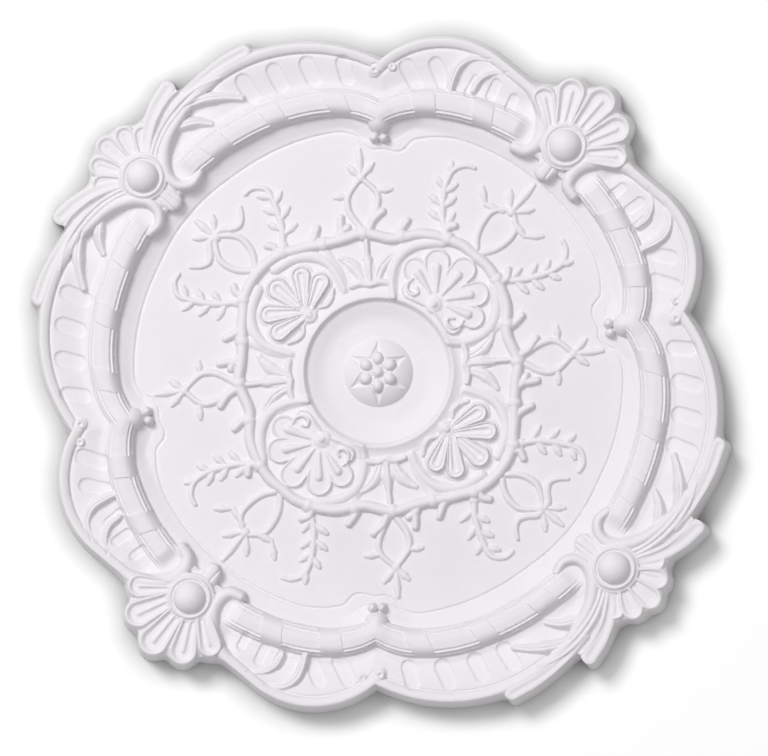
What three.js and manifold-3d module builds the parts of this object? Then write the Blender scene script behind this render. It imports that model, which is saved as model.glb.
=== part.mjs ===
// Ceiling rose: one casting with a flat back, fan shells on X and leaf shells on Y.
// Millimetres, +Z out of the face, origin in the middle of the back.
import * as THREE from 'three';
import { mergeVertices } from 'three/addons/utils/BufferGeometryUtils.js';
import Module from 'manifold-3d';

const wasm = await Module();
wasm.setup();

// Plan of one quarter: each lobe of the rim is an arc, and the arcs meet in a cusp
const FAN_LOBE = { x: 212, y: 98.5, radius: 91 };
const LEAF_LOBE = { x: 80, y: 154, radius: 152.5 };
const FAN_SIDE = 303;
const CUSP = THREE.MathUtils.degToRad(39.4);
const FAN_PEARL = new THREE.Vector2(277, 0);
const LEAF_PEARL = new THREE.Vector2(0, 290);
const TORUS_RADIUS = 265;
const TORUS_DIP = 21;
const TORUS_DIP_SPREAD = THREE.MathUtils.degToRad(7.5);
const GROOVE_RADIUS = 233;
const GROOVE_DIP = 14;
const GROOVE_DIP_SPREAD = THREE.MathUtils.degToRad(6);
const FAN_PLATFORM_ANGLE = THREE.MathUtils.degToRad(6);
const LEAF_PLATFORM_ANGLE = THREE.MathUtils.degToRad(85.5);
const PLATFORM_BLEND = THREE.MathUtils.degToRad(3);

// Heights above the back
const DRAFT = 4;
const EDGE = 33;
const BAND_FOOT = 21;
const TORUS_TOP = 37;
const TORUS_FOOT = 19;
const FIELD_EDGE = 16;
const FIELD_CROWN = 23;
const DISH_RIM = 27;
const DISH_FLOOR = 17;
const BOSS_TOP = 28;
const PLATFORM = 30;
const PEARL_TOP = 46;
const SHELL_TOP = 35;
const SHELL_SHOULDER = 26;

// Widths of the mouldings, and radii at the middle and of the pearls
const BEAD_CREST = 4;
const BEAD_WIDTH = 10;
const TORUS_SHOULDER = 10;
const TORUS_HALF = 14;
const MIDDLE_RADIUS = GROOVE_RADIUS - GROOVE_DIP - 4;
const DISH_RADIUS = 71;
const DISH_LIP = 3;
const BOSS_RADIUS = 34;
const PEARL_RADIUS = 16.5;
const COLLAR_RADIUS = 21.5;

// Steps round the rim, from a shell axis to the cusp and on to the next axis
const FAN_STEPS = 6;
const LEAF_STEPS = 7;
const QUARTER_STEPS = FAN_STEPS + LEAF_STEPS;

const QUARTERS = [[1, 1], [-1, 1], [-1, -1], [1, -1]];
const QUARTER_TURN = Math.PI / 2;

// Ray from the centre to the far side of a lobe's arc
function reach(lobe, angle) {
  const along = lobe.x * Math.cos(angle) + lobe.y * Math.sin(angle);
  const square = lobe.x ** 2 + lobe.y ** 2 - lobe.radius ** 2;
  return along + Math.sqrt(along ** 2 - square);
}

function outline(angle) {
  if (angle > CUSP) return reach(LEAF_LOBE, angle);
  const straight = Math.atan2(FAN_LOBE.y, FAN_SIDE);
  return angle < straight ? FAN_SIDE / Math.cos(angle) : reach(FAN_LOBE, angle);
}

function torus(angle) {
  return TORUS_RADIUS - TORUS_DIP * Math.exp(-Math.abs(angle - CUSP) / TORUS_DIP_SPREAD);
}

function groove(angle) {
  const away = (angle - CUSP) / GROOVE_DIP_SPREAD;
  return GROOVE_RADIUS - GROOVE_DIP * Math.exp(-(away ** 4));
}

// The mouldings die into a level platform under each pearl
function platform(angle) {
  const fan = THREE.MathUtils.smoothstep(FAN_PLATFORM_ANGLE + PLATFORM_BLEND - angle, 0, PLATFORM_BLEND);
  const leaf = THREE.MathUtils.smoothstep(angle - LEAF_PLATFORM_ANGLE + PLATFORM_BLEND, 0, PLATFORM_BLEND);
  return Math.max(fan, leaf);
}

function fieldHeight(radius) {
  return THREE.MathUtils.mapLinear(radius, GROOVE_RADIUS, DISH_RADIUS, FIELD_EDGE, FIELD_CROWN);
}

// Rings of the rim from the middle of the back, over the mouldings, to the level field.
// Each gives a radius for an angle and a height; a moulding ring dies into the platform.
const RIM = [
  { radius: () => 0, height: 0 },
  { radius: (a) => outline(a) + DRAFT, height: 0 },
  { radius: (a) => outline(a) + DRAFT / 4, height: EDGE - 6 },
  { radius: (a) => outline(a) - BEAD_CREST, height: EDGE },
  { radius: (a) => outline(a) - BEAD_WIDTH, height: EDGE - 4 },
  { radius: (a) => (outline(a) + torus(a)) / 2, height: BAND_FOOT + 4, moulding: true },
  { radius: (a) => torus(a) + TORUS_HALF, height: BAND_FOOT, moulding: true },
  { radius: (a) => torus(a) + TORUS_SHOULDER, height: TORUS_TOP - 5, moulding: true },
  { radius: (a) => torus(a), height: TORUS_TOP, moulding: true },
  { radius: (a) => torus(a) - TORUS_SHOULDER, height: TORUS_TOP - 5, moulding: true },
  { radius: (a) => torus(a) - TORUS_HALF, height: TORUS_FOOT },
  { radius: (a) => groove(a), height: FIELD_EDGE },
  { radius: () => 0, height: FIELD_EDGE },
];

// Profile of the domed middle: field, lip of the dish, dish and boss
const MIDDLE = [
  [0, FIELD_EDGE - 4], [MIDDLE_RADIUS, FIELD_EDGE - 4], [MIDDLE_RADIUS, FIELD_EDGE + 0.3],
  [DISH_RADIUS + 2 * DISH_LIP, FIELD_CROWN], [DISH_RADIUS + DISH_LIP, DISH_RIM],
  [DISH_RADIUS - DISH_LIP, DISH_RIM], [DISH_RADIUS - 3 * DISH_LIP, DISH_FLOOR + 5],
  [BOSS_RADIUS + 6, DISH_FLOOR], [BOSS_RADIUS, DISH_FLOOR + 4],
  [BOSS_RADIUS - 11, BOSS_TOP - 3], [0, BOSS_TOP],
];
const MIDDLE_STEPS = 20;

// Angle of a spoke, mirrored from quarter to quarter so that one always falls on each cusp
function spokeAngle(step) {
  const within = step % QUARTER_STEPS;
  const start = Math.floor(step / QUARTER_STEPS);
  const mirrored = start % 2 === 1;
  const folded = mirrored ? QUARTER_STEPS - within : within;
  const angle = folded < FAN_STEPS
    ? (CUSP * folded) / FAN_STEPS
    : CUSP + ((QUARTER_TURN - CUSP) * (folded - FAN_STEPS)) / LEAF_STEPS;
  const full = mirrored ? (start + 1) * QUARTER_TURN - angle : start * QUARTER_TURN + angle;
  return { folded: angle, full };
}

// Ornaments on the field are sunk a little; a lobe of a shell's edge sweeps this far to each side
const SINK = 1;
const LOBE_SWEEP = THREE.MathUtils.degToRad(75);

// Closed body for joining and cutting, turned to face out
function solid(geometry) {
  geometry.deleteAttribute('normal');
  geometry.deleteAttribute('uv');
  const merged = mergeVertices(geometry, 1e-3);
  const positions = merged.attributes.position;
  const index = merged.index.array;
  const corner = [new THREE.Vector3(), new THREE.Vector3(), new THREE.Vector3()];
  const triangles = [];
  let volume = 0;
  for (let i = 0; i < index.length; i += 3) {
    const [a, b, c] = [index[i], index[i + 1], index[i + 2]];
    if (a === b || b === c || c === a) continue;
    [a, b, c].forEach((at, k) => corner[k].fromBufferAttribute(positions, at));
    volume += corner[0].dot(corner[1].clone().cross(corner[2]));
    triangles.push([a, b, c]);
  }
  const facing = triangles.map(([a, b, c]) => (volume < 0 ? [a, c, b] : [a, b, c]));
  return new wasm.Manifold(new wasm.Mesh({
    numProp: 3,
    vertProperties: new Float32Array(positions.array),
    triVerts: new Uint32Array(facing.flat()),
  }));
}

// Lathe turned on the ring heights, then drawn out to the lobed plan
function rimBody() {
  const profile = RIM.map((ring, j) => new THREE.Vector2(ring.radius(0) && j + 1, ring.height));
  const geometry = new THREE.LatheGeometry(profile, QUARTERS.length * QUARTER_STEPS);
  const positions = geometry.attributes.position;
  for (let i = 0; i < positions.count; i += 1) {
    const angle = spokeAngle(Math.floor(i / RIM.length));
    const ring = RIM[i % RIM.length];
    const radius = ring.radius(angle.folded);
    const level = ring.moulding
      ? THREE.MathUtils.lerp(ring.height, PLATFORM, platform(angle.folded))
      : ring.height;
    positions.setXYZ(i, radius * Math.cos(angle.full), radius * Math.sin(angle.full), level);
  }
  return solid(geometry);
}

function middleBody() {
  const profile = MIDDLE.map(([radius, height]) => new THREE.Vector2(radius, height));
  return solid(new THREE.LatheGeometry(profile, MIDDLE_STEPS).rotateX(QUARTER_TURN));
}

const splineThrough = (points) => new THREE.SplineCurve(points.map(([x, y]) => new THREE.Vector2(x, y)));

// Ornament drawn along a curve: a sphere stretched from end to end of it.
// A small blunt value keeps the width nearly to the ends.
function drawn(points, { half, rise, lift = null, blunt = 0.6, steps = 3 }) {
  const curve = splineThrough(points);
  const geometry = new THREE.SphereGeometry(1, 4, steps);
  const positions = geometry.attributes.position;
  for (let i = 0; i < positions.count; i += 1) {
    const round = Math.hypot(positions.getX(i), positions.getZ(i));
    const swell = round > 1e-6 ? round ** blunt / round : 0;
    const t = THREE.MathUtils.clamp((1 - positions.getY(i)) / 2, 0, 1);
    const at = curve.getPoint(t);
    const tangent = curve.getTangent(t);
    const across = positions.getX(i) * swell * half;
    const level = lift ?? fieldHeight(at.length()) - SINK;
    const height = level + positions.getZ(i) * swell * rise;
    positions.setXYZ(i, at.x - tangent.y * across, at.y + tangent.x * across, height);
  }
  return geometry;
}

// Backing of a shell: a plate with a round lobe behind each tongue, down to the back
function plate(lobes, root) {
  const shape = new THREE.Shape();
  lobes.forEach(({ x, y, radius, facing }) => {
    const middle = THREE.MathUtils.degToRad(facing);
    shape.absarc(x, y, radius, middle - LOBE_SWEEP, middle + LOBE_SWEEP, false);
  });
  root.forEach(([x, y]) => shape.lineTo(x, y));
  return new THREE.ExtrudeGeometry(shape, { depth: SHELL_SHOULDER, bevelEnabled: false, curveSegments: 2 });
}

// Round dome on a profile turned about its own axis
function turned(centre, profile, sides) {
  const points = profile.map(([radius, height]) => new THREE.Vector2(radius, height));
  return new THREE.LatheGeometry(points, sides).rotateX(QUARTER_TURN).translate(centre.x, centre.y, 0);
}

function dome(centre, radius, foot, top) {
  const shoulder = [radius * Math.SQRT1_2, foot + (top - foot) * Math.SQRT1_2];
  return turned(centre, [[0, foot], [radius, foot], shoulder, [0, top]], 5);
}

// Pearl in its collar, standing on the back so that nothing is left open under it
function pearl(centre) {
  const rest = PLATFORM + 1;
  const rise = PEARL_TOP - rest;
  return turned(centre, [
    [0, 0], [COLLAR_RADIUS, 0], [COLLAR_RADIUS - 1, rest + 3], [PEARL_RADIUS + 1.5, rest + 3],
    [PEARL_RADIUS, rest], [PEARL_RADIUS * 0.87, rest + rise * 0.5], [PEARL_RADIUS * 0.5, rest + rise * 0.87],
    [0, PEARL_TOP],
  ], 10);
}

function mirrored(geometry, [sx, sy]) {
  return geometry.clone().scale(sx, sy, 1);
}

// Inner shells round the dish
const TONGUE = { half: 7, rise: 9, blunt: 0.7 };
const STEM = { half: 3.2, rise: 6, blunt: 0.35, steps: 4 };
const LEAFLET = { half: 3, rise: 5, blunt: 1, steps: 2 };
const onFanAxis = [
  drawn([[80, 0], [132, 0]], TONGUE),
  drawn([[192, 0], [229, 0]], { half: 5, rise: 6 }),
  pearl(FAN_PEARL),
];
const onLeafAxis = [
  drawn([[0, 78], [0, 134]], TONGUE),
  drawn([[0, 199], [0, 223]], { half: 5, rise: 6 }),
  pearl(LEAF_PEARL),
];
const field = [
  drawn([[84, 8], [120, 25]], TONGUE),
  drawn([[78, 14], [97, 42]], TONGUE),
  drawn([[66, 36], [82, 49], [102, 52], [120, 45], [133, 33]], STEM),
  drawn([[5, 88], [25, 124]], TONGUE),
  drawn([[8, 84], [41, 100]], TONGUE),
  drawn([[42, 76], [49, 98], [42, 120], [29, 133], [14, 137]], STEM),
  drawn([[55, 52], [74, 72], [90, 91]], { half: 9, rise: 8 }),
  drawn([[48, 74], [56, 96], [64, 110]], STEM),
  drawn([[72, 51], [94, 58], [110, 64]], STEM),
];

// Branch that rings the inner shells, with its stubs, and the sprigs and loops that grow from it
const branch = [
  drawn([[-5, 147], [26, 143], [46, 132], [62, 117], [92, 95], [112, 68], [127, 50], [140, 27], [144, -5]],
    { ...STEM, half: 4, rise: 8, blunt: 0.2, steps: 9 }),
  drawn([[95, 97], [99, 120], [112, 131], [131, 131]], STEM),
  drawn([[97, 95], [120, 99], [131, 112], [131, 131]], STEM),
  drawn([[126, 126], [150, 148]], LEAFLET),
  drawn([[149, 3], [165, 14], [182, 15], [197, 3]], STEM),
  drawn([[198, 5], [190, 20], [198, 36]], LEAFLET),
  drawn([[3, 155], [13, 170], [14, 186], [3, 200]], STEM),
  drawn([[2, 203], [18, 195], [34, 200]], LEAFLET),
  drawn([[140, 28], [155, 50], [176, 65], [193, 66], [203, 56]], STEM),
  drawn([[149, 41], [169, 44]], LEAFLET),
  drawn([[168, 60], [185, 54]], LEAFLET),
  drawn([[34, 146], [51, 162], [61, 180], [64, 196], [51, 205]], STEM),
  drawn([[40, 152], [61, 149]], LEAFLET),
  drawn([[51, 163], [71, 167]], LEAFLET),
];

// Lobes of the shells' edges for one half, in order towards the axis, with the way each one faces
const FAN_EDGE = [
  { x: 326, y: -28, radius: 12, facing: -25 },
  { x: 303, y: -47, radius: 11, facing: -60 },
];
const FAN_TIP = { x: 339, y: 0, radius: 11, facing: 0 };
const LEAF_EDGE = [
  { x: 21, y: 332, radius: 8, facing: 55 },
  { x: 79, y: 327, radius: 9, facing: 10 },
  { x: 152, y: 292, radius: 8, facing: 20 },
];
const LEAF_TIP = { x: 0, y: 341, radius: 10, facing: 90 };
const overX = (lobe) => ({ ...lobe, y: -lobe.y, facing: -lobe.facing });
const overY = (lobe) => ({ ...lobe, x: -lobe.x, facing: 180 - lobe.facing });
const fanPlate = plate(
  [...FAN_EDGE.toReversed(), FAN_TIP, ...FAN_EDGE.map(overX)],
  [[250, 40], [250, -40]],
);
const leafPlate = plate(
  [...LEAF_EDGE.toReversed(), LEAF_TIP, ...LEAF_EDGE.map(overY)],
  [[-130, 250], [130, 250]],
);

// Tongues and blades that lie on the backings
const FLUTE = { half: 9, rise: SHELL_TOP - SHELL_SHOULDER, lift: SHELL_SHOULDER - 1, blunt: 0.5 };
const BLADE = { ...FLUTE, half: 8, blunt: 0.35, steps: 5 };
const onFanEdge = [fanPlate, drawn([[285, 0], [347, 0]], FLUTE)];
const onLeafEdge = [leafPlate, drawn([[0, 300], [0, 348]], { ...FLUTE, half: 7 })];
const shells = [
  drawn([[283, 9], [334, 32]], FLUTE),
  drawn([[276, 14], [310, 54]], { ...FLUTE, half: 7 }),
  drawn([[6, 300], [24, 337]], { ...FLUTE, half: 6 }),
  drawn([[14, 296], [38, 315], [60, 324], [87, 327]], BLADE),
  drawn([[66, 309], [98, 308], [128, 303], [158, 291]], BLADE),
];

// Scroll ends under the pearls, volutes and knobs at the cusps, curled leaves on the fan lobe
const SCROLL = { half: 6, lift: EDGE - 8, rise: 12, blunt: 0.3, steps: 4 };
const rim = [
  drawn([[292, 32], [279, 24], [262, 21], [247, 29]], SCROLL),
  drawn([[22, 286], [16, 270], [27, 255]], SCROLL),
  dome(new THREE.Vector2(214, 184), 12, BAND_FOOT - 4, EDGE + 4),
  dome(new THREE.Vector2(231, 173), 9, BAND_FOOT - 4, EDGE + 4),
  dome(new THREE.Vector2(194, 155), 11, BAND_FOOT - 4, TORUS_TOP + 4),
  drawn([[255, 122], [268, 132], [284, 127], [295, 110]], { ...SCROLL, lift: BAND_FOOT + 4 }),
];

// Hollows pressed in the band between the edge and the torus
const HOLLOW = { half: 8, lift: BAND_FOOT + 6, rise: 8, blunt: 0.6 };
const hollows = [
  drawn([[126, 254], [130, 279]], HOLLOW),
  drawn([[150, 240], [157, 262]], HOLLOW),
  drawn([[174, 220], [181, 243]], HOLLOW),
  drawn([[193, 196], [204, 217]], HOLLOW),
  drawn([[236, 146], [242, 168]], { ...HOLLOW, half: 7 }),
  drawn([[256, 104], [276, 106]], { ...HOLLOW, half: 7 }),
];

// Star of six points pressed into the boss, with a bead in each point and one in the middle
const STAR_POINTS = 6;
const STAR_RADIUS = 28;
const STAR_HALF = 6;
const STAR_LIFT = BOSS_TOP + 1;
const STAR_DEPTH = 5;
const BEAD_RING = 13;
const BEAD_RADIUS = 5.4;
const BEAD_FOOT = BOSS_TOP - 6;
const BEAD_TOP = BOSS_TOP + 3;
const points = [];
const beads = [dome(new THREE.Vector2(0, 0), BEAD_RADIUS, BEAD_FOOT, BEAD_TOP)];
for (let i = 0; i < STAR_POINTS; i += 1) {
  const angle = CUSP + (i / STAR_POINTS) * Math.PI * 2;
  const way = [Math.cos(angle), Math.sin(angle)];
  const ends = [STAR_RADIUS / STAR_POINTS, STAR_RADIUS].map((at) => way.map((share) => share * at));
  points.push(drawn(ends, { half: STAR_HALF, lift: STAR_LIFT, rise: STAR_DEPTH }));
  beads.push(dome(new THREE.Vector2(...way).multiplyScalar(BEAD_RING), BEAD_RADIUS, BEAD_FOOT, BEAD_TOP));
}

let rose = rimBody().add(middleBody());
for (const quarter of QUARTERS) {
  for (const geometry of hollows) rose = rose.subtract(solid(mirrored(geometry, quarter)));
  for (const geometry of [...field, ...branch, ...shells, ...rim]) {
    rose = rose.add(solid(mirrored(geometry, quarter)));
  }
}
for (const side of [[1, 1], [-1, 1]]) {
  for (const geometry of [...onFanAxis, ...onFanEdge]) rose = rose.add(solid(mirrored(geometry, side)));
}
for (const side of [[1, 1], [1, -1]]) {
  for (const geometry of [...onLeafAxis, ...onLeafEdge]) rose = rose.add(solid(mirrored(geometry, side)));
}
for (const geometry of points) rose = rose.subtract(solid(geometry));
for (const geometry of beads) rose = rose.add(solid(geometry));

// The joined casting as one mesh
const cast = rose.getMesh();
const geometry = new THREE.BufferGeometry();
geometry.setAttribute('position', new THREE.BufferAttribute(cast.vertProperties, cast.numProp));
geometry.setIndex(new THREE.BufferAttribute(cast.triVerts, 1));
geometry.computeVertexNormals();

const whitePrimer = new THREE.MeshStandardMaterial({ color: 0xe9e7e6, roughness: 0.75, metalness: 0 });
const part = new THREE.Group();
const mesh = new THREE.Mesh(geometry, whitePrimer);
mesh.name = 'ceiling_rose';
part.add(mesh);

export default part;
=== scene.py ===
# %% [markdown]
# # A rococo ceiling rose in white primer
# This lesson dresses one casting: a lobed ceiling rose with pearled shells, a bound torus and
# a field of scrolling branches. The solid model gives its size, its place and its main forms.
# Here the same casting is modelled again with its fine carving, and it takes the solid's place.

# %% The frame
import math

import bmesh
import bpy
import numpy as np
from mathutils import Matrix, Vector
from mathutils.kdtree import KDTree


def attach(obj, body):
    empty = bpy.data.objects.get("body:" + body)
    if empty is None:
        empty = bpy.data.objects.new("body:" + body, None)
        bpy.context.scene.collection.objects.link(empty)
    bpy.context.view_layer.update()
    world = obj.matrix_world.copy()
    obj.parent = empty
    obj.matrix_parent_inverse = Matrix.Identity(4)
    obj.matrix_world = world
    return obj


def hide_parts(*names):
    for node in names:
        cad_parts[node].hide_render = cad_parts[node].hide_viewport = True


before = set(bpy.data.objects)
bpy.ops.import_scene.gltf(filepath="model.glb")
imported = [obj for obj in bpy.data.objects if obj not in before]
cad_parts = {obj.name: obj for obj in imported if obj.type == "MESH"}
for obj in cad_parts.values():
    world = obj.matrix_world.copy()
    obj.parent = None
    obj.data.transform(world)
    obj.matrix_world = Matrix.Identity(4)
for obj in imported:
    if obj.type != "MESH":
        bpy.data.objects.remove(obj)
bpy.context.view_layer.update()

MM = 0.001

# %% [markdown]
# ## The plan of the rim
# The rose mirrors over both axes, so one quarter is drawn and the rest is mirrored. In that
# quarter the rim is a fan lobe and a leaf lobe, two arcs that meet in a cusp. A rim could be a
# hand-drawn curve, but arcs keep its mouldings parallel: how deep a point lies inside the
# arcs says which moulding it is on. All plan sizes are in millimetres, angles in degrees.

# %% Lobes, torus and groove
FAN_LOBE = {"x": 212, "y": 98.5, "radius": 91}
LEAF_LOBE = {"x": 80, "y": 154, "radius": 152.5}
CUSP = 39.4
TORUS, TORUS_HALF = 265, 14
TORUS_DIP, TORUS_DIP_WIDTH = 21, 7.5
GROOVE = 233
GROOVE_DIP, GROOVE_DIP_WIDTH = 14, 6


def ease(low, high, value):
    share = np.clip((value - low) / (high - low), 0, 1)
    return share * share * (3 - 2 * share)


def hump(value, half):
    return np.exp(-((value / half) ** 2))


def inside_rim(x, y):
    fan = FAN_LOBE["radius"] - np.hypot(x - FAN_LOBE["x"], np.clip(y - FAN_LOBE["y"], 0, None))
    leaf = LEAF_LOBE["radius"] - np.hypot(x - LEAF_LOBE["x"], y - LEAF_LOBE["y"])
    return np.maximum(fan, leaf)


def torus_radius(angle):
    return TORUS - TORUS_DIP * np.exp(-np.abs(angle - CUSP) / TORUS_DIP_WIDTH)


def groove_radius(angle):
    return GROOVE - GROOVE_DIP * np.exp(-(((angle - CUSP) / GROOVE_DIP_WIDTH) ** 4))


print("torus radius on the axis:", torus_radius(0.0).round(1), "at the cusp:", torus_radius(CUSP).round(1))

# %% [markdown]
# ## Shells and blades at the edge
# Behind each pearl the edge breaks into the tongues of a shell, and on the leaf side into two
# long blades. A tongue is a root, a round tip and a half width at each, and a blade follows a
# smooth path through a few points. The same values make the outline here and the carving
# later, so the two can't drift apart. The outline is kept as a depth again: above zero inside
# the sheet, below zero outside it and in the hole for the boss. The depths are blended where
# forms meet, which leaves no slots between them. The edge is trimmed back a little, because
# the wall will spread towards the back.

# %% Tongues and blades
FAN_TONGUES = [
    ((284, 0), (330, 0), (6.5, 16.5)),
    ((282, 9), (319.5, 27.5), (6.5, 15.5)),
    ((276, 14), (299, 43.5), (6, 13)),
]
LEAF_TONGUES = [
    ((0, 298), (0, 334), (5.5, 12.5)),
    ((5, 299), (18.5, 328), (5.5, 11.5)),
    ((9, 298), (30, 316), (5, 10)),
]
SHELL_PLATES = [(284, 0, 48), (0, 298, 38)]
WEB = ([(13, 297), (40, 308), (72, 313)], 8)
BLADE_ROOT, BLADE_SWELL = 0.55, 0.8
HOLE_RADIUS, RIM_FROM = 43, 240
RIM_MARGIN, TRIM, BLEND = 1, 2.5, 4
BLADES = [
    ([(13, 297), (34, 313), (56, 322), (79, 325.5)], 9),
    ([(66, 310), (96, 308), (125, 302), (152, 292)], 7.5),
]


def smooth_path(points, steps=10):
    knots = np.array([points[0], *points, points[-1]], float)
    share = np.linspace(0, 1, steps, endpoint=False)[:, None]
    runs = []
    for a, b, c, d in zip(knots, knots[1:], knots[2:], knots[3:]):
        runs.append(0.5 * (2 * b + (c - a) * share + (2 * a - 5 * b + 4 * c - d) * share**2
                           + (3 * b - a - 3 * c + d) * share**3))
    return np.vstack([*runs, knots[-1:]])


def beside(path, x, y):
    gap = np.full(len(x), np.inf)
    along = np.zeros(len(x))
    runs = np.hypot(*np.diff(path, axis=0).T)
    starts = np.concatenate([[0], np.cumsum(runs)])
    for (ax, ay), (bx, by), start, run in zip(path, path[1:], starts, runs):
        share = np.clip(((x - ax) * (bx - ax) + (y - ay) * (by - ay)) / run**2, 0, 1)
        away = np.hypot(x - ax - share * (bx - ax), y - ay - share * (by - ay))
        closer = away < gap
        gap[closer] = away[closer]
        along[closer] = (start + share * run)[closer] / starts[-1]
    return gap, along


def inside_outline(x, y):
    forms = [inside_rim(x, y) + RIM_MARGIN]
    for root, tip, halves in FAN_TONGUES + LEAF_TONGUES:
        gap, along = beside(np.array([root, tip], float), x, y)
        forms.append(np.interp(along, [0, 1], halves) - gap)
    for middle_x, middle_y, radius in SHELL_PLATES:
        forms.append(radius - np.hypot(x - middle_x, y - middle_y))
    gap, _ = beside(smooth_path(WEB[0]), x, y)
    forms.append(WEB[1] - gap)
    for points, half in BLADES:
        gap, along = beside(smooth_path(points), x, y)
        forms.append(half * np.interp(along, [0, BLADE_SWELL, 1], [BLADE_ROOT, 1, 1]) - gap)
    inside = BLEND * np.logaddexp.reduce(np.array(forms) / BLEND) - TRIM
    return np.where(np.hypot(x, y) < RIM_FROM, np.hypot(x, y) - HOLE_RADIUS, inside)


print("tongues:", len(FAN_TONGUES) + len(LEAF_TONGUES), "blades:", len(BLADES))

# %% [markdown]
# ## The blank sheet
# Fine relief wants many evenly spread vertices, so the quarter starts as a square grid. What lies
# outside the outline is deleted. That leaves a ragged edge, and each vertex on it is then pulled
# out to the outline. A Boolean would cut it too, but it leaves slivers that spoil the relief.

# %% Grid trimmed to the outline
SHEET = 352
CELLS = 560


def vertex_places(mesh):
    places = np.empty(len(mesh.vertices) * 3)
    mesh.vertices.foreach_get("co", places)
    return places.reshape(-1, 3)


sheet = bmesh.new()
bmesh.ops.create_grid(sheet, x_segments=CELLS, y_segments=CELLS, size=SHEET / 2)
bmesh.ops.translate(sheet, verts=sheet.verts, vec=(SHEET / 2, SHEET / 2, 0))
blank = bpy.data.meshes.new("quarter")
sheet.to_mesh(blank)
spots = vertex_places(blank)
outside = inside_outline(spots[:, 0], spots[:, 1]) < 0
doomed = [vertex for vertex, gone in zip(sheet.verts, outside) if gone]
while doomed:
    bmesh.ops.delete(sheet, geom=doomed, context="VERTS")
    doomed = [vertex for vertex in sheet.verts
              if not vertex.link_faces or sum(edge.is_boundary for edge in vertex.link_edges) > 2]
sheet.verts.index_update()
rim = [vertex for vertex in sheet.verts if vertex.is_boundary]
print("trimmed sheet:", len(sheet.verts), "vertices,", len(rim), "on its edge")

# %% Ragged edge pulled to the outline
STEP, PULLS, LEAST_SLOPE = 0.05, 4, 0.2
x, y = np.array([vertex.co.xy for vertex in rim]).T
on_x_axis, on_y_axis = y < STEP, x < STEP
ragged = ~(on_x_axis | on_y_axis) | (inside_outline(x, y) < SHEET / CELLS)
for _ in range(PULLS):
    inside = np.where(ragged, inside_outline(x, y), 0)
    slope_x = (inside_outline(x + STEP, y) - inside_outline(x - STEP, y)) / (2 * STEP)
    slope_y = (inside_outline(x, y + STEP) - inside_outline(x, y - STEP)) / (2 * STEP)
    slope_x[on_y_axis] = 0
    slope_y[on_x_axis] = 0
    pull = inside / np.clip(slope_x**2 + slope_y**2, LEAST_SLOPE, None)
    x, y = x - pull * slope_x, y - pull * slope_y
for vertex, across, up in zip(rim, x, y):
    vertex.co.xy = across, up
sheet.to_mesh(blank)
sheet.free()
flat = vertex_places(blank)
X, Y = flat[:, 0].copy(), flat[:, 1].copy()
R, PHI = np.hypot(X, Y), np.degrees(np.arctan2(Y, X))
print("furthest from the outline:", np.abs(inside_outline(x, y)[ragged]).max().round(2), "mm")

# %% [markdown]
# ## The mouldings
# From the edge inwards: a rounded bead, a fine quirk, a band that falls to the torus, the
# torus roll, a level band and the domed field with its dish. Each could be a swept profile,
# but as heights over the plan they meet at the cusps without any trimming. Under the pearls
# they die into a level platform. The field turns up to a narrow brim round the dish, whose
# floor is level in the middle and steepens to the lip.

# %% Heights of the rim
EDGE, BAND_TOP, BAND_FOOT = 33, 29, 23.5
EDGE_CREST, EDGE_WIDE, EDGE_END = 3, 10, -1.3
OUTER_FALL, INNER_FALL = 5, 3
BAND_SINK = 6
TORUS_TOP, TORUS_FOOT = 33.5, 20
FIELD_EDGE, FIELD_CROWN = 16, 23
PLATFORM, PLATE = 27, 29
DISH = 71
FAR_INSIDE = 99
torus = torus_radius(PHI)
depth = np.where(R > torus, inside_rim(X, Y), FAR_INSIDE)
groove = groove_radius(PHI)
outer_side = EDGE - OUTER_FALL * ((EDGE_CREST - depth) / (EDGE_CREST + RIM_MARGIN)) ** 2
inner_side = EDGE - INNER_FALL * ((depth - EDGE_CREST) / (EDGE_WIDE - EDGE_CREST)) ** 2
bead = np.where(depth < EDGE_CREST, outer_side, inner_side)
outer_foot = torus + TORUS_HALF
fall = np.clip(depth - EDGE_WIDE, 0, None) / np.clip(depth - EDGE_WIDE + R - outer_foot, 1, None)
scooped = ease(68, 74, PHI) + ease(14, 9, PHI)
band_top = BAND_TOP - BAND_SINK * scooped
band = band_top + (BAND_FOOT - band_top) * ease(0, 1, np.clip(fall, 0, 1))
across_torus = (R - torus) / TORUS_HALF
torus_foot = np.where(across_torus > 0, BAND_FOOT, TORUS_FOOT)
roll = torus_foot + (TORUS_TOP - torus_foot) * (1 - np.clip(np.abs(across_torus), 0, 1) ** 3)
inner_foot = torus - TORUS_HALF
level_band = FIELD_EDGE + (TORUS_FOOT - FIELD_EDGE) * ease(0, 1, (R - groove) / (inner_foot - groove))
field = FIELD_CROWN + (FIELD_EDGE - FIELD_CROWN) * np.clip((R - DISH) / (GROOVE - DISH), 0, 1)
H = np.select(
    [depth < EDGE_END, depth < EDGE_WIDE, R > outer_foot, R > inner_foot, R > groove],
    [PLATE, bead, band, roll, level_band], field)
near_pearl = np.maximum(ease(10.5, 7.5, PHI), ease(81, 84.5, PHI))
under_pearl = near_pearl * ease(250, 258, R) * ease(304, 298, R)
H += (PLATFORM - H) * under_pearl
print("rim heights from", H.min().round(1), "to", H.max().round(1), "mm")

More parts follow.
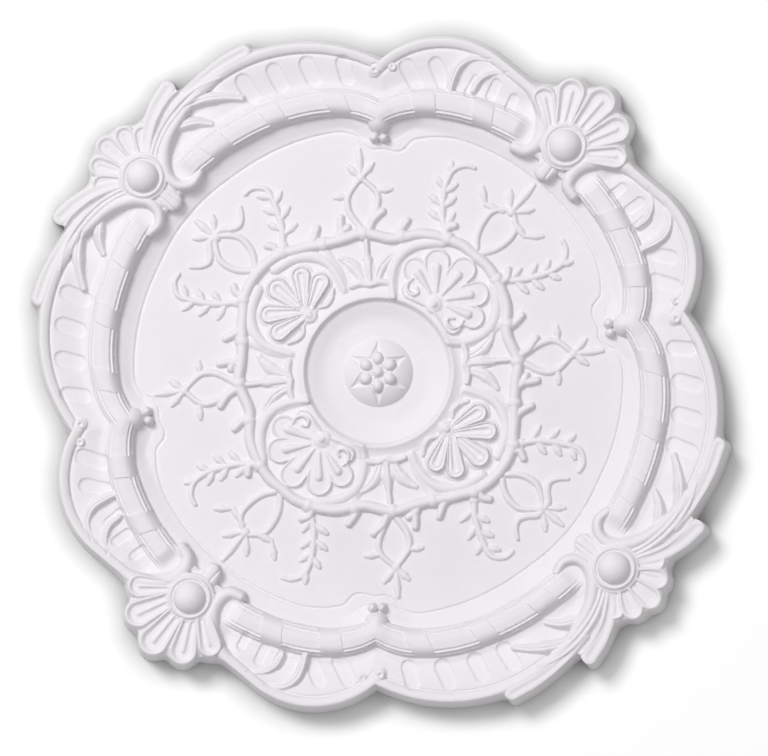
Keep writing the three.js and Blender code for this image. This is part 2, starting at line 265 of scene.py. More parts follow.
# %% Dish in the middle
DISH_FLOOR, BRIM = 17, 12
lip = 1.2 * hump(R - DISH, half=2.6)
bowl = DISH_FLOOR + 5.5 * ease(HOLE_RADIUS + 1, DISH - 1, R) ** 1.4 + 3.5 * ease(DISH - 5, DISH, R)
brim = FIELD_CROWN + 3 * ease(DISH + BRIM, DISH, R)
H = np.where(R < DISH + BRIM, np.where(R < DISH, bowl, brim) + lip, H)
GROUND = H.copy()
print("dish floor", H[R < 50].min().round(1), "and lip", H[np.abs(R - DISH) < 2].max().round(1))

# %% [markdown]
# ## Carving tools
# The carving is done with a few tools that work on the heights near a path: a ridge adds a
# rounded bar, a knob a round one, a cut takes a fine line away, a scoop presses a flat hollow
# and a tongue shapes one flute of a shell. Sculpting by hand would give the same forms, but a
# script can repeat these and change them by their sizes.

# %% Heights near a path
def nearest(path, reach):
    low, high = path.min(0) - reach, path.max(0) + reach
    spot = np.flatnonzero((X > low[0]) & (X < high[0]) & (Y > low[1]) & (Y < high[1]))
    return spot, *beside(path, X[spot], Y[spot])


def wave(value, places, levels):
    step = np.clip(np.searchsorted(places, value, side="right") - 1, 0, len(places) - 2)
    places, levels = np.array(places, float), np.array(levels, float)
    share = np.clip((value - places[step]) / (places[step + 1] - places[step]), 0, 1)
    return levels[step] + (levels[step + 1] - levels[step]) * (1 - np.cos(np.pi * share)) / 2


def flute(root, tip, halves):
    spot, gap, along = nearest(np.array([root, tip], float), max(halves))
    return spot, gap / np.interp(along, [0, 1], halves), along


print("helpers ready: nearest, wave, flute")

# %% Ridge, knob, cut, scoop and tongue
DOT = 0.01
FLATNESS = 7


def raise_to(spot, height):
    H[spot] = np.maximum(H[spot], height)


def ridge(points, half, rise, ends=(1, 1), on=None, fullness=0.75, swell=0.5):
    spot, gap, along = nearest(smooth_path(points), half)
    size = np.interp(along, [0, swell, 1], [ends[0], 1, ends[1]])
    across = np.clip(gap / (half * size), 0, 1)
    foot = GROUND[spot] if on is None else on
    bar = foot + rise * np.sqrt(size) * (1 - across**2) ** fullness
    raise_to(spot, np.where(across < 1, bar, 0))


def knob(x, y, radius, rise, on=None):
    ridge([(x, y), (x + DOT, y)], radius, rise, on=on, fullness=0.55)


def cut(points, half, deep):
    spot, gap, _ = nearest(smooth_path(points), 3 * half)
    H[spot] -= deep * hump(gap, half)


def scoop(points, half, deep):
    spot, gap, _ = nearest(smooth_path(points), half)
    H[spot] -= deep * (1 - np.clip(gap / half, 0, 1) ** FLATNESS)


def tongue(root, tip, halves, foot, rise, drop=0.85):
    spot, across, along = flute(root, tip, halves)
    face = wave(across, [0, 0.24, 0.44, 0.76, 1], [drop, 0.5, 0.5, 1, 0.2])
    raise_to(spot, np.where(across < 1, foot + rise * face * ease(-0.3, 0.35, along), 0))


print("tools ready: ridge, knob, cut, scoop, tongue")

# %% [markdown]
# ## Bound torus
# The torus is a roll with fine reeds along both shoulders, and a ribbon is wound round it at
# intervals. Ribbons could be bands of their own laid on the roll, but a casting has one skin,
# so both are changes to the height of the roll. The reeds are cut only between the wraps, and
# each wrap stands a little proud with slanted ends.

# %% Reeds and ribbons
WRAPS = [(17.6, 4.4), (30, 4.6), (48.5, 4.6), (62, 4.2), (75.3, 5)]
REED_PLACES = [0, 0.48, 0.58, 0.7, 0.82, 0.9, 1.01]
REED_LEVELS = [1, 0.95, 0.76, 0.84, 0.5, 0.5, 0.05]
SLANT, FADE, PROUD = 0.9, 0.12, 1.2
ribbon = np.zeros(len(X))
for middle, width in WRAPS:
    slanted = np.abs(PHI - middle - SLANT * across_torus)
    ribbon = np.maximum(ribbon, ease(width / 2 + FADE, width / 2 - FADE, slanted))
on_roll = (np.abs(across_torus) < 1) * (1 - under_pearl) * (depth > EDGE_WIDE)
reeded = torus_foot + (TORUS_TOP - torus_foot) * wave(np.abs(across_torus), REED_PLACES, REED_LEVELS)
wrap = ribbon * PROUD * ease(1, 0.85, np.abs(across_torus))
H += on_roll * ((1 - ribbon) * (reeded - roll) + wrap)
FILLET = 2.6
H += 0.9 * hump(R - outer_foot - FILLET, FILLET) * (1 - under_pearl) * (depth > EDGE_WIDE + 2)
print("ribbon wraps in a quarter:", len(WRAPS))

# %% Quirk, groove line and hollows
QUIRK_AT, QUIRK_HALF, QUIRK_DEEP = 10.8, 1.1, 1.4
H -= QUIRK_DEEP * hump(depth - QUIRK_AT, QUIRK_HALF) * (1 - under_pearl)
GROOVE_LINE = [(234, -8), (233.5, 20), (228, 52), (217.5, 83), (205, 102), (198, 109), (190, 115.5),
               (178, 116.5), (171, 121.5), (165.5, 132.5), (158.5, 139.5), (156.5, 150), (158.5, 160),
               (149, 177), (120, 199), (86, 216), (50, 227), (20, 233), (-8, 234)]
cut(GROOVE_LINE, half=1.1, deep=1.7)
HOLLOWS = [
    ((125, 259), (130, 275), 8.1), ((150.5, 244.5), (156.5, 259), 8.1), ((174.5, 224.5), (181.5, 239), 8.1),
    ((195.5, 200.5), (204, 213), 7.65), ((233, 147), (240, 164), 8.1), ((250, 127), (259, 144), 7.65),
    ((259, 102), (272, 104), 6.3), ((269, 85), (281, 88), 5.4), ((271, 64), (281, 66.5), 4.95),
]
for start, end, half in HOLLOWS:
    scoop([start, end], half, deep=2)
print("hollows in a quarter:", len(HOLLOWS))

# %% [markdown]
# ## Cusps and curled leaves
# Where two lobes meet, the bead of each ends in a round scroll with a drilled eye, and the
# torus swells inwards to a soft bulb with a pair of beads. Curled leaves lie over the band.
# Separate balls would leave seams here, but raised heights grow out of the mouldings.

# %% Scroll eyes, swellings and curls
ON_BAND = 22
EYE_STEPS, EYE_TURN = 16, 15
FINE_LINE = {"half": 0.9, "deep": 1.2}


def eye(x, y, radius, top, start):
    knob(x, y, radius, top - ON_BAND, on=ON_BAND)
    turns = np.radians(start + EYE_TURN * np.arange(EYE_STEPS))
    size = radius * np.linspace(0.78, 0.45, EYE_STEPS)
    cut(list(zip(x + size * np.cos(turns), y + size * np.sin(turns))), **FINE_LINE)
    cut([(x, y), (x + 0.2, y)], half=1.8, deep=4.5)


eye(217.5, 185, radius=8, top=34, start=30)
eye(231, 174, radius=6, top=33, start=200)
BULB, BULB_REACH = (190, 157), 16
ridge([BULB, (183, 151)], half=13, rise=15.5, ends=(1, 0.9), on=18, fullness=0.6)
H += 2 * np.clip(1 - (np.hypot(X - BULB[0], Y - BULB[1]) / BULB_REACH) ** 2, 0, None) ** 2
for x, y in [(174.2, 138.2), (168.4, 145.2)]:
    knob(x, y, radius=4.9, rise=11, on=16.5)
CURLS = [
    ([(246, 117), (259, 123), (272, 126), (285, 121), (295, 107)], 7.5, 13),
    ([(262, 101), (274, 103), (286, 98), (296, 86)], 6, 12),
    ([(76, 302), (93, 293), (107, 280), (117, 266)], 8.5, 13),
    ([(50, 298), (63, 292), (73, 284), (80, 273)], 7.5, 11),
]
for points, half, rise in CURLS:
    ridge(points, half, rise, ends=(0.6, 0.55), on=ON_BAND - 2)
    cut(points, **FINE_LINE)
print("curled leaves in a quarter:", len(CURLS))

# %% [markdown]
# ## Shells, blades, scrolls and pearls
# The outer ornaments lie on each other: shell tongues at the back, then the blades, then the
# scrolls that grow out of the edge bead and curl under the pearl, and the pearl in its collar.
# Solids could be joined here, but Booleans of so many crossing forms are slow and fragile.
# So they are carved in that order, each keeping the higher surface.

# %% Edge shells and blades
PLATE_LEAN, PLATE_BACK = 4, 4
for middle_x, middle_y, radius in SHELL_PLATES:
    outward = np.where(middle_y, Y - middle_y - X / PLATE_LEAN, X - middle_x - Y / PLATE_LEAN)
    raise_to((outward > -PLATE_BACK) & (np.hypot(X - middle_x, Y - middle_y) < radius), PLATE)
for root, tip, halves in FAN_TONGUES:
    tongue(root, tip, halves, PLATE, rise=6.5)
for root, tip, halves in LEAF_TONGUES:
    tongue(root, tip, halves, PLATE, rise=4.5, drop=0.3)
TROUGH_SHARE, TROUGH_DEEP = 0.45, 2.2
for points, half in BLADES:
    ridge(points, half, rise=5.5, ends=(BLADE_ROOT, 1), on=PLATE, fullness=0.5, swell=BLADE_SWELL)
    spot, gap, along = nearest(smooth_path(points), half)
    H[spot] -= TROUGH_DEEP * hump(gap, half * TROUGH_SHARE) * ease(0, 0.3, along)
VEINS = [
    [(16, 296.5), (34, 308), (50, 315), (70, 318.5), (85, 317)],
    [(14, 293), (30, 301), (50, 307), (75, 308.5), (98, 304), (118, 294)],
    [(16, 289), (32, 297.5), (52, 302.5), (75, 303.5), (96, 299)],
]
for points in VEINS:
    ridge(points, half=3.4, rise=5, ends=(0.7, 0.6), on=PLATE)
print("tongues, blades and veins:", len(FAN_TONGUES) + len(LEAF_TONGUES), len(BLADES), len(VEINS))

# %% Scrolls and pearls
SCROLLS = [
    ([(299, 66), (296, 49), (286, 33), (274, 24.5), (261, 22), (250, 26), (246, 36)], 9.5),
    ([(74, 300), (54, 298), (37, 293), (22.5, 283), (15, 270), (16, 258), (25, 250), (37, 251)], 7.8),
]
for points, half in SCROLLS:
    ridge(points, half, rise=13, ends=(0.7, 0.6), on=ON_BAND, fullness=0.45)
TABS = [
    ([(260, 0), (246, 0)], 11.5, [(258, 4), (240, 5)]),
    ([(0, 271), (0, 254)], 12, [(4, 269), (5, 246)]),
]
for points, half, line in TABS:
    ridge(points, half, rise=8.5, ends=(1, 0.8), on=24, fullness=0.35)
    cut(line, half=1, deep=1.3)
PEARL, COLLAR, COLLAR_RISE, REACH = 16, 20.5, 3, 3
RING_FLOOR, PEARL_TOP = 33.5, 46
for x, y in [(277, 0), (0, 290)]:
    away = np.hypot(X - x, Y - y)
    near = away < COLLAR + REACH
    H[near & (away < COLLAR)] = RING_FLOOR
    away = away[near]
    raise_to(near, RING_FLOOR + COLLAR_RISE * hump(away - COLLAR + 1.8, half=2))
    ball = RING_FLOOR + (PEARL_TOP - RING_FLOOR) * np.clip(1 - (away / PEARL) ** 2, 0, None) ** 0.65
    raise_to(near, np.where(away < PEARL, ball, 0))
print("pearl tops at", H.max().round(1), "mm")

# %% [markdown]
# ## The field
# Round the dish stand four small shells, two kinds in turn, inside a ring of branches. From
# the branches grow loops, sprigs and leaflets. A bevelled curve could make each stem, but
# ridges melt into the field and into each other, as they do in a worn casting. The
# thick stems rise most, and the sprigs towards the groove are the lowest relief.

# %% Palmette on the fan axis
WIDEST_LOBE = 14


def scallop(root, base, lobes, rise):
    tips = np.array([tip for tip, _ in lobes], float)
    low = np.minimum(tips.min(0), root) - WIDEST_LOBE
    high = np.maximum(tips.max(0), root) + WIDEST_LOBE
    spot = np.flatnonzero((X > low[0]) & (X < high[0]) & (Y > low[1]) & (Y < high[1]))
    across = np.full(len(spot), np.inf)
    for tip, half in lobes:
        gap, along = beside(np.array([root, tip], float), X[spot], Y[spot])
        across = np.minimum(across, gap / (base + (half - base) * along))
    face = wave(across, [0, 0.68, 0.86, 1], [0.6, 0.6, 1, 0])
    raise_to(spot, np.where(across < 1, GROUND[spot] + rise * face, 0))


PALMETTE = [((126, 0), 13), ((116, 24), 13), ((97, 35.5), 12), ((79, 26), 9)]
scallop((86, 0), base=9, lobes=PALMETTE, rise=4)
FINGERS = [((95, 0), (119, 0)), ((94, 6), (112, 20.5)), ((89.5, 10), (96, 31))]
for start, end in FINGERS:
    ridge([start, end], half=5.4, rise=5.8, ends=(0.45, 1), swell=0.9)
curl = [(89, 31), (83, 32), (77, 28), (77, 21), (82, 19), (84.5, 23)]
ridge(curl, half=2.8, rise=5.5, ends=(0.7, 0.8))
knob(83, 0, radius=9.5, rise=5)
knob(83, 0, radius=5, rise=7)
print("palmette lobes:", 2 * len(PALMETTE) - 1)

# %% Petals on the leaf axis
PETALS = [((7, 89), (30.5, 97), (4, 9.5)), ((2, 93), (23.5, 115), (4, 9.5)), ((0, 94), (0, 124), (4, 11))]
PETAL_PLACES = [0, 0.2, 0.36, 0.5, 0.64, 0.82, 1]
PETAL_LEVELS = [0.5, 0.55, 0.8, 0.8, 0.66, 1, 0.35]
PETAL_RISE = 6.5
scallop((0, 88), base=8, lobes=[(tip, halves[1] + 3) for _, tip, halves in PETALS], rise=2)
for root, tip, halves in PETALS:
    spot, across, along = flute(root, tip, halves)
    face = wave(across, PETAL_PLACES, PETAL_LEVELS)
    raise_to(spot, np.where(across < 1, GROUND[spot] + PETAL_RISE * face * ease(-0.6, 0.3, along), 0))
ridge([(12, 82), (18, 78), (26, 79), (33, 83)], half=3, rise=4, ends=(0.7, 0.7))
knob(0, 85, radius=8.5, rise=5)
knob(0, 85, radius=5, rise=6.8)
print("petals in a quarter:", len(PETALS))

# %% Branch ring and its stubs
BRANCH = [(-5, 149), (12, 147.5), (27, 143), (38, 135), (48, 128), (61, 117), (76, 106), (91, 96.5),
          (98, 85), (104, 73), (113, 63.5), (124, 55), (132, 44), (138, 31), (143, 15), (143, -5)]
ridge(BRANCH, half=5.6, rise=6.2, fullness=0.6)
FRAMES = [[(64, 34), (73, 44), (85, 51.5), (98, 54.5), (111, 51.5), (122, 44), (133, 32)],
          [(40, 75), (46, 89), (49, 102), (46, 115), (38, 126), (27, 133), (12, 138)]]
BORDERS = [[(66, 37), (77, 47), (90, 53.5), (102, 56.5), (112, 59.5)],
           [(40, 75), (47, 90), (51, 102), (55, 112)]]
for points in FRAMES:
    ridge(points, half=5.6, rise=4.6, ends=(0.6, 0.9), fullness=0.6)
for points in BORDERS:
    ridge(points, half=7, rise=3, ends=(0.7, 0.8), fullness=0.8)
STUBS = [
    [(98, 93), (108, 96), (120, 94.5)], [(111, 68), (119, 70), (128, 70.5)],
    [(47, 129), (56, 127.5), (68, 132)], [(78, 106), (82, 114), (90, 121)],
    [(24, 145), (28, 151), (25, 158)], [(137, 33), (146, 37), (153, 33)],
    [(72, 110), (79, 112), (87, 110)],
]
for points in STUBS:
    ridge(points, half=4.4, rise=5, ends=(1, 0.9))
for x, y in [(92, 95), (113, 65), (60, 118), (139, 30), (29, 142.5)]:
    knob(x, y, radius=7.2, rise=7)
print("stubs in a quarter:", len(STUBS))

# %% Leafy bud on the diagonal
DIAGONAL = math.sqrt(0.5)


def slanted_path(points):
    return [((along - side) * DIAGONAL, (along + side) * DIAGONAL) for along, side in points]


for side in (-1, 1):
    ridge(slanted_path([(83, 0), (85, 9 * side), (83, 18 * side)]), half=3.6, rise=4.3, ends=(1, 0.9))
    leaf = [(87, 7 * side), (98, 11 * side), (106, 18 * side), (111, 26 * side)]
    ridge(slanted_path(leaf), half=6.5, rise=4, ends=(0.6, 0.45))
ridge(slanted_path([(87, 0), (98, 0), (110, 0)]), half=7, rise=4.7, ends=(0.7, 0.55))
ridge(slanted_path([(109, 0), (120, 0), (131, 0)]), half=3.2, rise=4.3, ends=(0.8, 0.8))
for side in (-1, 1):
    cut(slanted_path([(88, 7 * side), (100, 13 * side), (109, 23 * side)]), half=0.9, deep=1.3)
    cut(slanted_path([(89, 3 * side), (99, 3.5 * side), (107, 5 * side)]), half=0.9, deep=1.3)
print("bud carved")

# %% Loops, sprigs and leaflets
STEMS = [
    [(94, 97), (99, 118), (110, 129), (131, 131)], [(97, 95), (119, 101), (130, 111), (131, 131)],
    [(149, 3), (160, 11), (176, 15), (188, 13), (197, 3)], [(3, 155), (12, 167), (14, 184), (3, 200)],
    [(140, 30), (150, 45), (163, 56), (178, 65), (192, 68), (203, 62), (207, 54)],
    [(33, 146), (46, 157), (55, 170), (62, 183), (65, 194), (58, 204), (49, 206)],
    [(0, 203), (8, 202), (15, 195), (23, 191), (31, 195), (37, 202)],
]
for points in STEMS:
    ridge(points, half=3.5, rise=3.2, ends=(1, 0.7))
LEAFLETS = [
    ((131, 131), (151, 150)), ((131, 131), (149, 131)), ((131, 131), (132, 147)), ((131, 112), (141, 102)),
    ((110, 129), (101, 138)), ((197, 0), (230, 0)), ((192, 6), (187, 24)), ((187, 24), (198, 37)),
    ((200, 4), (212, 14)), ((0, 200), (0, 226)), ((4, 206), (14, 217)), ((146, 40), (161, 41)),
    ((149, 45), (148, 60)), ((158, 53), (173, 50)), ((160, 55), (160, 69)), ((170, 61), (184, 57)),
    ((174, 64), (177, 75)), ((187, 67), (197, 74)), ((42, 153), (58, 150)), ((45, 157), (42, 170)),
    ((51, 164), (66, 166)), ((54, 170), (50, 182)), ((59, 178), (72, 181)), ((62, 185), (56, 195)),
]
for start, end in LEAFLETS:
    ridge([start, end], half=4, rise=3.1, ends=(0.5, 0.6), swell=0.65)
for x, y in [(131, 131), (197, 0), (0, 201), (141, 31), (35, 147)]:
    knob(x, y, radius=4.8, rise=3.8)
print("stems:", len(STEMS), "leaflets:", len(LEAFLETS))

# %% [markdown]
# ## From heights to mesh
# The sheet takes the heights. Two hundred thousand squares are far more than the casting
# needs, so Decimate keeps vertices only where the surface bends. A coarser grid would be as
# light, but it would lose the fine lines.

# %% Dense quarter
flat[:, 2] = H
blank.vertices.foreach_set("co", flat.ravel() * MM)
blank.update()
print("dense quarter:", len(blank.polygons), "squares")

# %% Thinned where it is smooth
KEEP = 46500


def thinned(mesh, target):
    holder = bpy.data.objects.new("thinning", mesh)
    bpy.context.collection.objects.link(holder)
    thin = holder.modifiers.new("thin", "DECIMATE")
    thin.ratio = min(1, target / sum(len(polygon.vertices) - 2 for polygon in mesh.polygons))
    thin.use_collapse_triangulate = True
    result = bpy.data.meshes.new_from_object(holder.evaluated_get(bpy.context.evaluated_depsgraph_get()))
    bpy.data.objects.remove(holder)
    return result


def slopes(mesh):
    facing = np.empty(len(mesh.vertices) * 3)
    mesh.vertex_normals.foreach_get("vector", facing)
    tree = KDTree(len(mesh.vertices))
    for k, place in enumerate(vertex_places(mesh)):
        tree.insert(place, k)
    tree.balance()
    return tree, facing.reshape(-1, 3)


carved_tree, carved_facing = slopes(blank)
light = thinned(blank, KEEP)
print("thinned quarter:", len(light.polygons), "triangles")

# %% [markdown]
# ## The boss
# The boss in the dish is a low dome with a six-pointed star pressed into it and seven beads.
# Six points don't mirror over the axes, so it is a round sheet of its own, trimmed from a grid
# like the quarter, and bridged into the hole of the dish.

# %% Boss with its star
BOSS, BOSS_RISE, BOSS_SHEET = 32.8, 11.5, HOLE_RADIUS - 1.5
BEAD_RING, BEAD = 12.8, 5.9
BEAD_LONG, BEAD_FOOT, BEAD_RISE = 6.5, 7, 7.5
BOSS_CELLS, BOSS_KEEP = 150, 8000
STAR_DEPTH = 4.2
STAR_TURN, STAR_TIP, STAR_WIDE, STAR_HALF = 39.6, 30.5, 13, 7.6
disc = bmesh.new()
bmesh.ops.create_grid(disc, x_segments=BOSS_CELLS, y_segments=BOSS_CELLS, size=BOSS_SHEET)
beyond = [vertex for vertex in disc.verts if vertex.co.length > BOSS_SHEET]
bmesh.ops.delete(disc, geom=beyond, context="VERTS")
loose = [vertex for vertex in disc.verts if not vertex.link_faces]
bmesh.ops.delete(disc, geom=loose, context="VERTS")
for vertex in disc.verts:
    if vertex.is_boundary:
        vertex.co *= BOSS_SHEET / vertex.co.length
boss_mesh = bpy.data.meshes.new("boss")
disc.to_mesh(boss_mesh)
disc.free()
round_flat = vertex_places(boss_mesh)
x, y = round_flat[:, 0], round_flat[:, 1]
dome = BOSS_RISE * np.clip(1 - (np.hypot(x, y) / BOSS) ** 3, 0, None) ** 0.85
rise = dome.copy()
arms = np.radians(STAR_TURN + 60 * np.arange(6))
for arm in arms:
    along = x * np.cos(arm) + y * np.sin(arm)
    side = np.abs(y * np.cos(arm) - x * np.sin(arm))
    width = STAR_HALF * np.interp(along, [0, STAR_WIDE, STAR_TIP], [0, 1, 0])
    rise = np.minimum(rise, dome - STAR_DEPTH * np.sqrt(np.clip((width - side) / STAR_HALF, 0, 1)))
for turn, ring, length in [(0, 0, BEAD)] + [(arm, BEAD_RING, BEAD_LONG) for arm in arms]:
    along = x * np.cos(turn) + y * np.sin(turn) - ring
    gap = np.hypot(along / length, (y * np.cos(turn) - x * np.sin(turn)) / BEAD)
    ball = BEAD_FOOT + BEAD_RISE * np.sqrt(np.clip(1 - gap**2, 0, None))
    rise = np.where(gap < 1, np.maximum(rise, ball), rise)
round_flat[:, 2] = DISH_FLOOR + rise
boss_mesh.vertices.foreach_set("co", round_flat.ravel() * MM)
boss_mesh.update()
boss_tree, boss_facing = slopes(boss_mesh)
boss_mesh = thinned(boss_mesh, BOSS_KEEP)
print("boss:", len(boss_mesh.polygons), "triangles")

# %% [markdown]
# ## One closed casting
# The quarter gets its wall and is mirrored over both axes. Vertices near an axis are first put
# exactly on it, so that the quarters meet without a gap, and slivers that this flattens are
# deleted. The mesh is in metres by now, so the three limits below are too. The boss is then
# bridged in and the back closed with one flat face. A Mirror and a Solidify modifier could do
# much of this, but the back would then copy the carving.

# %% Quarter with its wall, mirrored
DRAFT = 6.5
SNAP, OUTER, MIDDLE = 0.0002, 0.1, 0.06
casting = bmesh.new()
casting.from_mesh(light)
for vertex in casting.verts:
    if vertex.is_boundary:
        vertex.co.x = 0 if vertex.co.x < SNAP else vertex.co.x
        vertex.co.y = 0 if vertex.co.y < SNAP else vertex.co.y
slivers = [face for face in casting.faces if not all(face.calc_center_median().xy)]
bmesh.ops.delete(casting, geom=slivers, context="FACES")
outer = [edge for edge in casting.edges if edge.is_boundary
         and all(vertex.co.xy.length > OUTER for vertex in edge.verts)
         and not all(vertex.co.x == 0 for vertex in edge.verts)
         and not all(vertex.co.y == 0 for vertex in edge.verts)]
for edge in outer:
    edge.smooth = False
skirt = bmesh.ops.extrude_edge_only(casting, edges=outer)["geom"]
walls = [item for item in skirt if isinstance(item, bmesh.types.BMFace)]
for vertex in [item for item in skirt if isinstance(item, bmesh.types.BMVert)]:
    vertex.co.xy *= 1 + DRAFT * MM / vertex.co.xy.length
    vertex.co.z = 0
for face in walls:
    face.material_index = 1
for axis in ("X", "Y"):
    everything = casting.verts[:] + casting.edges[:] + casting.faces[:]
    bmesh.ops.mirror(casting, geom=everything, axis=axis, merge_dist=1e-5)
bmesh.ops.remove_doubles(casting, verts=casting.verts, dist=1e-6)
print("four quarters:", len(casting.faces), "faces")

# %% Boss bridged in and back closed
CREASE = math.radians(40)
casting.from_mesh(boss_mesh)
middle = [edge for edge in casting.edges if edge.is_boundary and edge.verts[0].co.xy.length < MIDDLE]
bmesh.ops.bridge_loops(casting, edges=middle)
open_edges = [edge for edge in casting.edges if edge.is_boundary]
back = bmesh.ops.contextual_create(casting, geom=open_edges)["faces"]
bmesh.ops.recalc_face_normals(casting, faces=casting.faces)
for face in casting.faces:
    face.smooth = True
for face in back:
    face.material_index = 1
    for edge in face.edges:
        edge.smooth = False
for edge in casting.edges:
    if edge.calc_face_angle(0) > CREASE and all(face.material_index for face in edge.link_faces):
        edge.smooth = False
print("open edges left:", sum(edge.is_boundary for edge in casting.edges), "back faces:", len(back))
rose_mesh = bpy.data.meshes.new("rose")
casting.to_mesh(rose_mesh)
casting.free()
rose = bpy.data.objects.new("rose_casting", rose_mesh)
bpy.context.collection.objects.link(rose)
rose_mesh.calc_loop_triangles()
print("casting:", len(rose_mesh.loop_triangles), "triangles")

# %% [markdown]
# ## Slopes kept from the dense relief
# Thinning leaves long triangles on the smooth field, and light would show them as streaks. The
# dense relief knew the true slope everywhere, so each corner of the carved faces takes its
# normal from there, sampled a little way into its own face. Walls and back keep their own:
# a material index of 1 has marked them so far.

# %% Normals of the carved surface
NUDGE = 0.3
by_corner = np.empty(len(rose_mesh.loops) * 3)
rose_mesh.corner_normals.foreach_get("vector", by_corner)
by_corner = by_corner.reshape(-1, 3)
for polygon in rose_mesh.polygons:
    if polygon.material_index:
        polygon.material_index = 0
        continue
    for corner in polygon.loop_indices:
        place = rose_mesh.vertices[rose_mesh.loops[corner].vertex_index].co
        spot = place.lerp(polygon.center, NUDGE)
        if spot.xy.length < (HOLE_RADIUS - 1) * MM:
            by_corner[corner] = boss_facing[boss_tree.find(spot)[1]]
            continue
        by_corner[corner] = carved_facing[carved_tree.find((abs(spot.x), abs(spot.y), spot.z))[1]]
        by_corner[corner] *= (math.copysign(1, spot.x), math.copysign(1, spot.y), 1)
rose_mesh.normals_split_custom_set(by_corner.tolist())
print("normals set at", len(by_corner), "corners")

# %% [markdown]
# ## White primer
# The casting is primed in matt white. A flat colour would look like plastic, so a slow
# mottling shifts the white a little, as sprayed primer does. A fine grain breaks the surface,
# and a slower bump leaves it slightly uneven, as a hand-finished mould does. All of them read
# Object coordinates, so they stay put on the piece.

# %% Primer material
primer = bpy.data.materials.new("white_primer")
primer.use_nodes = True
nodes, links = primer.node_tree.nodes, primer.node_tree.links
shader = nodes["Principled BSDF"]
shader.inputs["Specular IOR Level"].default_value = 0.25
place = nodes.new("ShaderNodeTexCoord")


def noise(scale, detail):
    node = nodes.new("ShaderNodeTexNoise")
    node.inputs["Scale"].default_value = scale
    node.inputs["Detail"].default_value = detail
    links.new(place.outputs["Object"], node.inputs["Vector"])
    return node.outputs["Fac"]


def bump(height, strength, distance):
    node = nodes.new("ShaderNodeBump")
    node.inputs["Strength"].default_value = strength
    node.inputs["Distance"].default_value = distance
    links.new(height, node.inputs["Height"])
    return node


COLOUR_A, COLOUR_B, COLOUR_OUT = 6, 7, 2
tint = nodes.new("ShaderNodeMix")
tint.data_type = "RGBA"
tint.inputs[COLOUR_A].default_value = (0.72, 0.70, 0.72, 1)
tint.inputs[COLOUR_B].default_value = (0.77, 0.75, 0.77, 1)
links.new(noise(scale=22, detail=4), tint.inputs["Factor"])
links.new(tint.outputs[COLOUR_OUT], shader.inputs["Base Color"])
gloss = nodes.new("ShaderNodeMapRange")
gloss.inputs["To Min"].default_value = 0.62
gloss.inputs["To Max"].default_value = 0.8
links.new(noise(scale=60, detail=3), gloss.inputs["Value"])
links.new(gloss.outputs["Result"], shader.inputs["Roughness"])
grain = bump(noise(scale=900, detail=5), strength=0.12, distance=0.0003)
unevenness = bump(noise(scale=130, detail=3), strength=0.5, distance=0.0007)
links.new(grain.outputs["Normal"], unevenness.inputs["Normal"])
links.new(unevenness.outputs["Normal"], shader.inputs["Normal"])
rose_mesh.materials.append(primer)
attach(rose, "root")
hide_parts("ceiling_rose")
print("primer set on", rose.name)

# %% [markdown]
# ## Floor, light and camera
# The rose lies face up on a white floor, under a broad soft light from the side of one leaf
# shell. The white room fills the shadows. An even room would light the walls as much as the
# face, so its light comes mostly from overhead and fades towards the horizon. On the floor,
# an Ambient Occlusion node paints shade into the floor's colour where floor and rose meet.
# The camera looks nearly straight down through a long lens, leaning a few degrees towards
# the opposite leaf shell. It is turned so that two of the cusps lie straight above and below the boss.

# %% Floor
stage = bmesh.new()
bmesh.ops.create_grid(stage, x_segments=1, y_segments=1, size=6)
floor_mesh = bpy.data.meshes.new("floor")
stage.to_mesh(floor_mesh)
stage.free()
floor = bpy.data.objects.new("floor", floor_mesh)
bpy.context.collection.objects.link(floor)
pale = bpy.data.materials.new("pale_floor")
pale.use_nodes = True
pale_shader = pale.node_tree.nodes["Principled BSDF"]
pale_shader.inputs["Roughness"].default_value = 0.9
# Painted shade: this Ambient Occlusion node darkens the floor's own colour where it meets the rose.
painted_contact_shade = pale.node_tree.nodes.new("ShaderNodeAmbientOcclusion")
painted_contact_shade.inputs["Color"].default_value = (0.95, 0.95, 0.95, 1)
painted_contact_shade.inputs["Distance"].default_value = 0.03
pale.node_tree.links.new(painted_contact_shade.outputs["Color"], pale_shader.inputs["Base Color"])
floor_mesh.materials.append(pale)
print("floor laid")

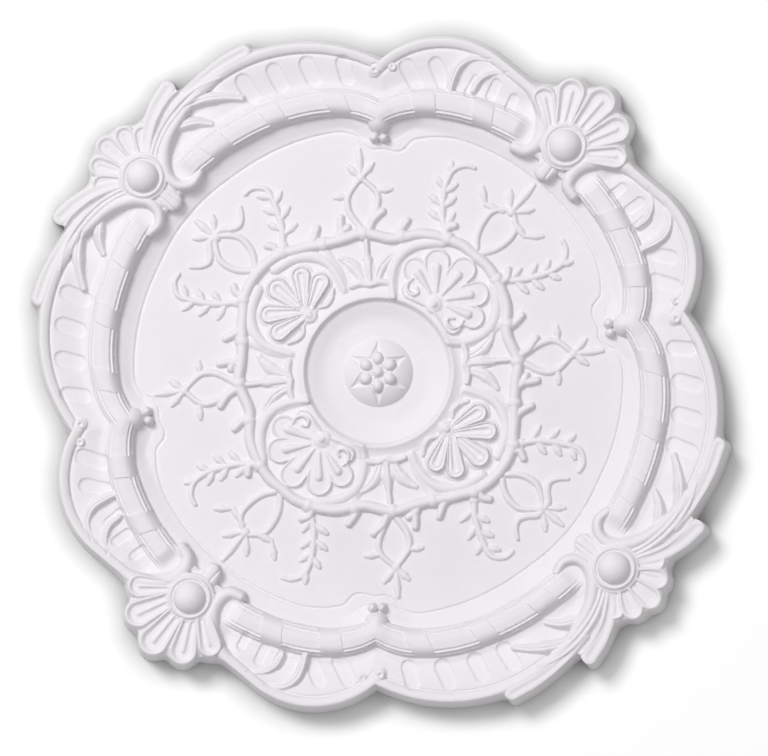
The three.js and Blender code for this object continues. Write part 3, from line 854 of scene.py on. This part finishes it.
# %% Lights
world = bpy.data.worlds.new("studio")
bpy.context.scene.world = world
world.use_nodes = True
room = world.node_tree
sky = room.nodes["Background"]
sky.inputs["Color"].default_value = (1, 1, 1, 1)
facing = room.nodes.new("ShaderNodeTexCoord")
split = room.nodes.new("ShaderNodeSeparateXYZ")
room.links.new(facing.outputs["Generated"], split.inputs["Vector"])


def math_node(operation, value, by):
    node = room.nodes.new("ShaderNodeMath")
    node.operation = operation
    node.inputs[1].default_value = by
    room.links.new(value, node.inputs[0])
    return node.outputs["Value"]


falloff = math_node("POWER", split.outputs["Z"], by=2)
room.links.new(math_node("MULTIPLY", falloff, by=1.2), sky.inputs["Strength"])
bpy.context.scene.view_settings.view_transform = "Standard"


def soft_light(name, place, size, power):
    lamp = bpy.data.lights.new(name, "AREA")
    lamp.size = size
    lamp.energy = power
    holder = bpy.data.objects.new(name, lamp)
    holder.location = place
    holder.rotation_euler = (-Vector(place)).to_track_quat("-Z", "Y").to_euler()
    bpy.context.collection.objects.link(holder)


soft_light("key", (0.7, 4.9, 6.3), size=2.6, power=400)
print("lights placed")

# %% Camera
LEAN = math.radians(5)
DISTANCE = 6.0
WIDTH_SEEN = 0.7258
SENSOR = 36
AIM_HEIGHT, SHIFT = 0.02, 0.0054
right = Vector((0.6374, -0.7705, 0))
to_camera = Vector((0, -math.sin(LEAN), math.cos(LEAN)))
across = (right - to_camera * right.dot(to_camera)).normalized()
upward = to_camera.cross(across)
aim = Vector((0, 0, AIM_HEIGHT)) + across * SHIFT - upward * SHIFT
lens = bpy.data.cameras.new("camera")
lens.sensor_width = SENSOR
lens.lens = SENSOR * DISTANCE / WIDTH_SEEN
lens.clip_end = 50
camera = bpy.data.objects.new("camera", lens)
bpy.context.collection.objects.link(camera)
columns = across, upward, to_camera, aim + to_camera * DISTANCE
camera.matrix_world = Matrix([[column[k] for column in columns] for k in range(3)] + [(0, 0, 0, 1)])
bpy.context.scene.camera = camera
print("camera at", [round(c, 3) for c in camera.matrix_world.translation])
